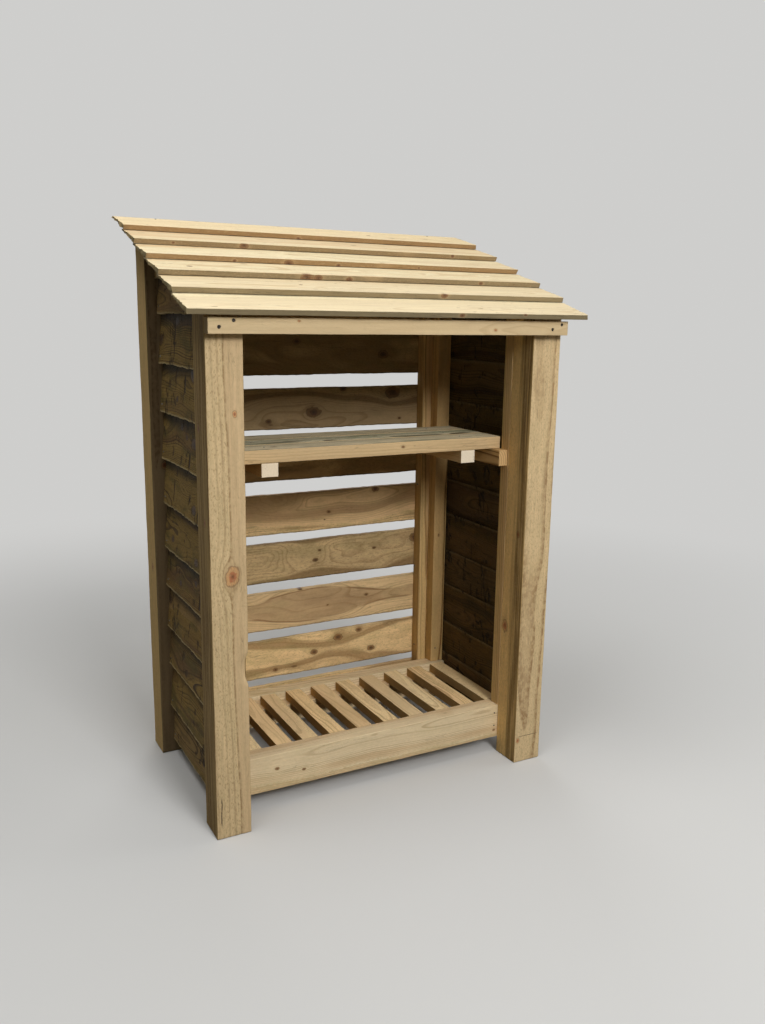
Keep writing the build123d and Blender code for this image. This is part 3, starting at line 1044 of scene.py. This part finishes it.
# %% [markdown]
# ## From solid to timber
#
# The tree is run once for each solid, with that solid's corners and marks as its inputs. A
# wall board that meets the roof was sawn off along it. A Boolean could do that, but one
# straight cut through one closed mesh is a bisect, which is quicker and never fails. The
# board is made whole first, so that its rings run on through the cut.


# %% What one timber is like
def nature_of(name, size):
    """Seed, pith, tone and heartwood of a timber, from the draw or, where known, the table."""
    settings = {"Seed": draw.uniform(0, 40)}
    # Flat-sawn boards have their pith outside the board, posts may hold it
    pith_off = draw.uniform(0.35, 1.1) * 0.05 + (0.01 if min(size[1:]) > 0.08 else 0.02)
    settings["Pith"] = (draw.uniform(-0.45, 0.45) * size[1], draw.choice((-1, 1)) * pith_off,
                        draw.uniform(0, 30))
    settings["Tone"] = (draw.uniform(0.90, 1.07), draw.uniform(0.0, 0.6), draw.uniform(0.7, 1.2))
    settings["zone"] = draw.uniform(0.02, 0.09)
    settings["streak"] = (0.0, 0.0)
    settings.update(natures.get(name.split()[0], {}))
    return settings


def marks_of(name, to_own):
    """The marks of a timber as inputs of the tree, in the timber's own axes."""
    settings = {label: (0.0, 0.0, 0.0) for label in (*mark_names, "Swirl", "Crack", "Chip")}
    settings["crack_half"] = 0.0008
    free_marks = list(mark_names)
    for kind, spot, *sizes in wood_marks.get(name, []):
        spot = to_own @ from_left_foot(*spot)
        reach = sizes[0] / 1000
        if kind in ("swirl", "eye"):
            settings["Swirl"] = (spot.x, spot.y, reach)
        elif kind == "crack":
            settings["Crack"] = (spot.x, spot.y, reach)
            settings["crack_half"] = sizes[1] / 1000
        elif kind == "chip":
            settings["Chip"] = tuple(spot)
            settings["Chip Size"] = reach
        elif kind == "knot":
            settings[free_marks.pop(0)] = (spot.x, spot.y, reach)
        else:
            settings[free_marks.pop(0)] = (spot.x, spot.z, -reach)
    return settings


# %% One timber
row_step = 0.008
uncovered = (9.0, -9.0)


def saw_timber(name, points, family, cover=uncovered):
    """One timber as a plain mesh in its place, from its eight corners."""
    along, across, finish, cut = families[family]
    corners, place = own_axes(points, along, across)
    size = [max(c[axis] for c in corners) - min(c[axis] for c in corners) for axis in range(3)]
    settings = {"Size": tuple(size), "Material": finishes[finish], "Sides": (0.0, 1.0, 0.0)}
    settings.update(zip(cut_labels, cut))
    settings.update({label: tuple(corner) for label, corner in zip(corner_names, corners)})
    settings.update({label: max(6, int(length / row_step) + 4)
                     for label, length in zip(row_names, size)})
    settings.update(nature_of(name, size))
    settings.update(marks_of(name, place.inverted()))
    settings["Cover"] = (*cover, settings.pop("zone"))
    settings["Lines"] = (*settings.pop("streak"), settings.pop("crack_half"))
    mesh = run_tree(timber_tree, settings)
    mesh.transform(place)
    return mesh


# %% Wall boards, and the cut under the roof
board_width = 0.155
thin_edge = 0.005
wall_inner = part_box("front_upright_right")[1].x
roof_rise = math.radians(20.5)
roof_normal = Vector((0, -math.sin(roof_rise), math.cos(roof_rise)))
roof_foot = min(solids("roof_board_1")[0], key=lambda point: point.dot(roof_normal))
roof_clear = 0.002


def wall_solids(node):
    """The boards of a side wall from the ground up, and how far they reach to front and back."""
    boards = sorted(solids(node), key=lambda points: min(p.z for p in points))
    return boards, (min(p.y for p in boards[0]), max(p.y for p in boards[0]))


def whole_wall_board(points, reach):
    """The eight corners that a wall board had before it was cut under the roof."""
    side = 1 if points[0].x > 0 else -1
    foot = min(point.z for point in points)
    low = [abs(point.x) for point in points if point.z < foot + 0.0005]
    head = foot + board_width
    section = ((min(low), foot), (max(low), foot), (wall_inner, head), (wall_inner + thin_edge, head))
    return [Vector((side * x, y, z)) for y in reach for x, z in section]


def cut_under_roof(mesh):
    """Saws off what stands above the roof's underside, and closes the cut."""
    cutter = bmesh.new()
    cutter.from_mesh(mesh)
    parts = cutter.verts[:] + cutter.edges[:] + cutter.faces[:]
    cut = bmesh.ops.bisect_plane(cutter, geom=parts, plane_co=roof_foot - roof_normal * roof_clear,
                                 plane_no=roof_normal, clear_outer=True)
    rim = [part for part in cut["geom_cut"] if isinstance(part, bmesh.types.BMEdge)]
    if rim:
        bmesh.ops.contextual_create(cutter, geom=rim)
    cutter.to_mesh(mesh)
    cutter.free()


def wall_boards(node, family):
    """The lapped boards of a side wall, as sawn."""
    boards, reach = wall_solids(node)
    feet = [min(p.z for p in points) for points in boards]
    meshes = []
    for number, points in enumerate(boards):
        lap = feet[number + 1] - feet[number] if number + 1 < len(feet) else 1.0
        cover = (lap - board_width / 2, -board_width / 2)
        mesh = saw_timber(f"{node} {number + 1}", whole_wall_board(points, reach), family, cover)
        cut_under_roof(mesh)
        meshes.append(mesh)
    return meshes


# %% A piece for every node
roof_lap = 0.0575


def new_piece(name, mesh):
    """A finished mesh as a piece of the store."""
    mesh.name = name
    piece = bpy.data.objects.new(name, mesh)
    bpy.context.scene.collection.objects.link(piece)
    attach(piece, "root")
    return piece


def join(meshes):
    """Many meshes in one."""
    joined = bmesh.new()
    for mesh in meshes:
        joined.from_mesh(mesh)
    joined.to_mesh(meshes[0])
    joined.free()
    for mesh in meshes[1:]:
        bpy.data.meshes.remove(mesh)
    return meshes[0]


pieces = {}
for node in sorted(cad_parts):
    family = family_of(node)
    if family == "side_cladding":
        meshes = wall_boards(node, family)
    else:
        # A lapped roof board gets a painted shadow where the board above lies on it
        lapped = family == "roof_board" and node != "roof_board_6"
        cover = (roof_lap, uncovered[1]) if lapped else uncovered
        in_order = sorted(solids(node), key=lambda points: mean(points).x)
        meshes = [saw_timber(node, points, family, cover) for points in in_order]
    pieces[node] = new_piece(node + "_wood", join(meshes))
    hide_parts(node)
triangles = sum(len(face.vertices) - 2 for piece in pieces.values() for face in piece.data.polygons)
print(len(pieces), "pieces,", triangles, "triangles")

# %% [markdown]
# ## Nails and screws
#
# Nails follow a rule: one where each board crosses what carries it. So Geometry Nodes set
# them: the script lists the places and the way each one faces as the points of a bare mesh,
# and the tree puts a low domed head on every point. The four header screws show best. Each
# sits at the bottom of a small bore that is cut out of the header's own mesh.

# %% A tree that sets heads on points
inputs = {"Points": "Geometry", "Radius": "Float", "Height": "Float", "Dome": "Float",
          "Slot": "Float", "Material": "Material"}
bench, given = new_tree("fixings", inputs)
head = bench.add("GeometryNodeMeshCone", None,
                 {"Vertices": 14, "Side Segments": 1, "Radius Top": given["Radius"] * given["Dome"],
                  "Radius Bottom": given["Radius"], "Depth": given["Height"]})
cross = head
slot_size = bench.vector(given["Slot"], given["Slot"], given["Height"])
# The two bars of the cross end at unequal depths, so that the cuts share no face
for shape, rise in (((1.0, 0.26, 1.0), 1.20), ((0.26, 1.0, 1.0), 1.12)):
    bar = bench.add("GeometryNodeMeshCube", None,
                    {"Size": bench.vector_math("MULTIPLY", shape, slot_size)})
    lift = bench.vector(0.0, 0.0, given["Height"] * rise)
    bar = bench.add("GeometryNodeSetPosition", None, {"Geometry": bar, "Offset": lift})
    cross = bench.add("GeometryNodeMeshBoolean", {"operation": "DIFFERENCE"},
                      {"Mesh 1": cross, "Mesh 2": bar})
chosen = bench.add("GeometryNodeSwitch", {"input_type": "GEOMETRY"},
                   {"Switch": given["Slot"] > 0.0001, "False": head, "True": cross})
facing = bench.add("GeometryNodeInputNamedAttribute", {"data_type": "FLOAT_VECTOR"},
                   {"Name": "facing"})
turned = bench.add("FunctionNodeAlignRotationToVector", {"axis": "Z"}, {"Vector": facing})
heads = bench.add("GeometryNodeInstanceOnPoints", None,
                  {"Points": given["Points"], "Instance": chosen, "Rotation": turned})
end_tree(bench, heads, given["Material"])
fixing_tree = bench.tree
print("fixings tree:", len(fixing_tree.nodes), "nodes")


def set_heads(name, places, settings):
    """One head at every place, as one plain mesh."""
    points = bpy.data.meshes.new(name)
    points.from_pydata([point for point, way in places], [], [])
    facing = points.attributes.new("facing", "FLOAT_VECTOR", "POINT")
    facing.data.foreach_set("vector", [value for point, way in places for value in way])
    return run_tree(fixing_tree, settings, points)


# %% Zinc, dulled by weather
def zinc(name, bright, dull):
    """A galvanised or blackened head with cloudy dull patches."""
    material, bench, output = new_material(name)
    place = bench.add("ShaderNodeTexCoord", None, None, "Object")
    cloud = bench.noise(place, 260.0, 3.0).ramp(0.35, 0.65)
    colour = bench.mix_colour(cloud, bright, dull)
    shader = bench.add("ShaderNodeBsdfPrincipled", None,
                       {"Base Color": colour, "Roughness": 0.35 + cloud * 0.3, "Metallic": 0.85})
    bench.tree.links.new(shader.socket, output.inputs["Surface"])
    return material


nail_finish = zinc("nail_zinc", rgb(150, 146, 138), rgb(84, 76, 66))
screw_finish = zinc("screw_black", rgb(70, 64, 58), rgb(38, 34, 30))

# %% Nails of the boards
nails = []
jitter = 0.003


def nail_board(node, points, along_places, across_shares, upper):
    """Nails at places along a board, in metres from its ends, and at shares across it."""
    grain, side = families[family_of(node)][:2]
    corners, place = own_axes(points, grain, side)
    corners = [place @ corner for corner in corners]
    near_low, near_high, far_low, far_high = corners[1::2] if upper else corners[0::2]
    outward = (far_low - near_low).cross(near_high - near_low).normalized()
    if (near_low - mean(corners)).dot(outward) < 0:
        outward = -outward
    length = (corners[4] - corners[0]).length
    for spot in along_places:
        from_end = spot if spot > 0 else length + spot
        for across in across_shares:
            share = (from_end + draw.uniform(-jitter, jitter)) / length
            across = across + draw.uniform(-jitter, jitter) * 4
            low = near_low.lerp(far_low, share)
            high = near_high.lerp(far_high, share)
            nails.append((low.lerp(high, across), outward))


# Places along the board, shares across it, and whether the nails are in its upper face
nail_rules = {
    "back_board": ((0.018, -0.018), (0.25, 0.75), False),
    "roof_board_6": ((0.130, -0.130), (0.90,), True),
    "floor_slats": ((0.020, -0.020), (0.5,), True),
    "shelf_board": ((0.120, -0.120), (0.5,), True),
}
for node in sorted(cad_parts):
    for name, rule in nail_rules.items():
        if node.startswith(name):
            for points in solids(node):
                nail_board(node, points, *rule)
print(len(nails), "nails in the boards")

# %% Nails of the walls and the frame
nail_up_the_board = 0.17
nail_from_end = 0.022
nail_below_roof = 0.012
for side, node in ((-1, "side_cladding_left"), (1, "side_cladding_right")):
    boards, reach = wall_solids(node)
    for points in boards:
        whole = whole_wall_board(points, reach)
        foot, head = whole[1], whole[3]
        outward = Vector((side * (head.z - foot.z), 0, side * (foot.x - head.x))).normalized()
        for y in (reach[0] + nail_from_end, reach[1] - nail_from_end):
            point = foot.lerp(head, nail_up_the_board)
            point.y = y
            if (roof_foot - point).dot(roof_normal) > nail_below_roof:
                nails.append((point, outward))

to_front = Vector((0, -1, 0))
to_left = Vector((-1, 0, 0))
frame_nails = ((979, 100, 92, to_front), (979, 100, 136, to_front), (111, 100, 76, to_front),
               (111, 100, 136, to_front), (1008, 528, 212, to_front), (1008, 528, 1010, to_front),
               (955, 592, 214, to_left), (955, 600, 515, to_left), (955, 592, 820, to_left))
nails.extend((from_left_foot(x, y, z), way) for x, y, z, way in frame_nails)

nail_settings = {"Radius": 0.0030, "Height": 0.0022, "Dome": 0.75, "Slot": 0.0,
                 "Material": nail_finish}
nail_depth = 0.0012
nail_places = [(point - way * nail_depth, way) for point, way in nails]
new_piece("nails", set_heads("nails", nail_places, nail_settings))
print(len(nails), "nails in all")

# %% Bores for the header's screws
screw_spots = ((29, 1375), (66, 1391), (1034, 1375), (1067, 1389))
bore_radius = 0.0052
bore_depth = 0.0035
header_face = [from_left_foot(x, -30, z) for x, z in screw_spots]
bore_settings = {"Radius": bore_radius * 0.82, "Height": bore_depth * 2, "Dome": 1.35, "Slot": 0.0,
                 "Material": finishes["header"]}
bore_places = [(point - to_front * bore_depth, to_front) for point in header_face]
bores = bpy.data.objects.new("bores", set_heads("bores", bore_places, bore_settings))
bpy.context.scene.collection.objects.link(bores)
header = pieces["front_header"]
drill = header.modifiers.new("drill", "BOOLEAN")
drill.operation = "DIFFERENCE"
drill.object = bores
graph = bpy.context.evaluated_depsgraph_get()
drilled = bpy.data.meshes.new_from_object(header.evaluated_get(graph), preserve_all_data_layers=True,
                                          depsgraph=graph)
header.modifiers.clear()
bpy.data.objects.remove(bores)
drilled.set_sharp_from_angle(angle=math.radians(50))
print("header:", len(drilled.polygons), "faces after drilling")

# %% New points know nothing of the wood, so every point is told again
in_bore = {"faces": (0, 0, 1), "depths": (0.03, 0.01, 0)}
to_own = own_axes(solids("front_header")[0], X, Z)[1].inverted()
for name in stored:
    if name not in ("grain", *in_bore):
        known = list(header.data.attributes[name].data[0].vector)
        drilled.attributes[name].data.foreach_set("vector", known * len(drilled.vertices))
for point in drilled.vertices:
    drilled.attributes["grain"].data[point.index].vector = to_own @ point.co
    if min((point.co - spot).length for spot in header_face) < bore_radius * 1.5:
        for name, value in in_bore.items():
            drilled.attributes[name].data[point.index].vector = value
header.data = drilled

# %% Header screws
screw_settings = {"Radius": 0.0046, "Height": 0.0024, "Dome": 0.9, "Slot": 0.0060,
                  "Material": screw_finish}
screw_seat = bore_depth - 0.0002
screw_places = [(point - to_front * screw_seat, to_front) for point in header_face]
new_piece("header_screws", set_heads("header_screws", screw_places, screw_settings))
print(len(screw_places), "screws in the header")
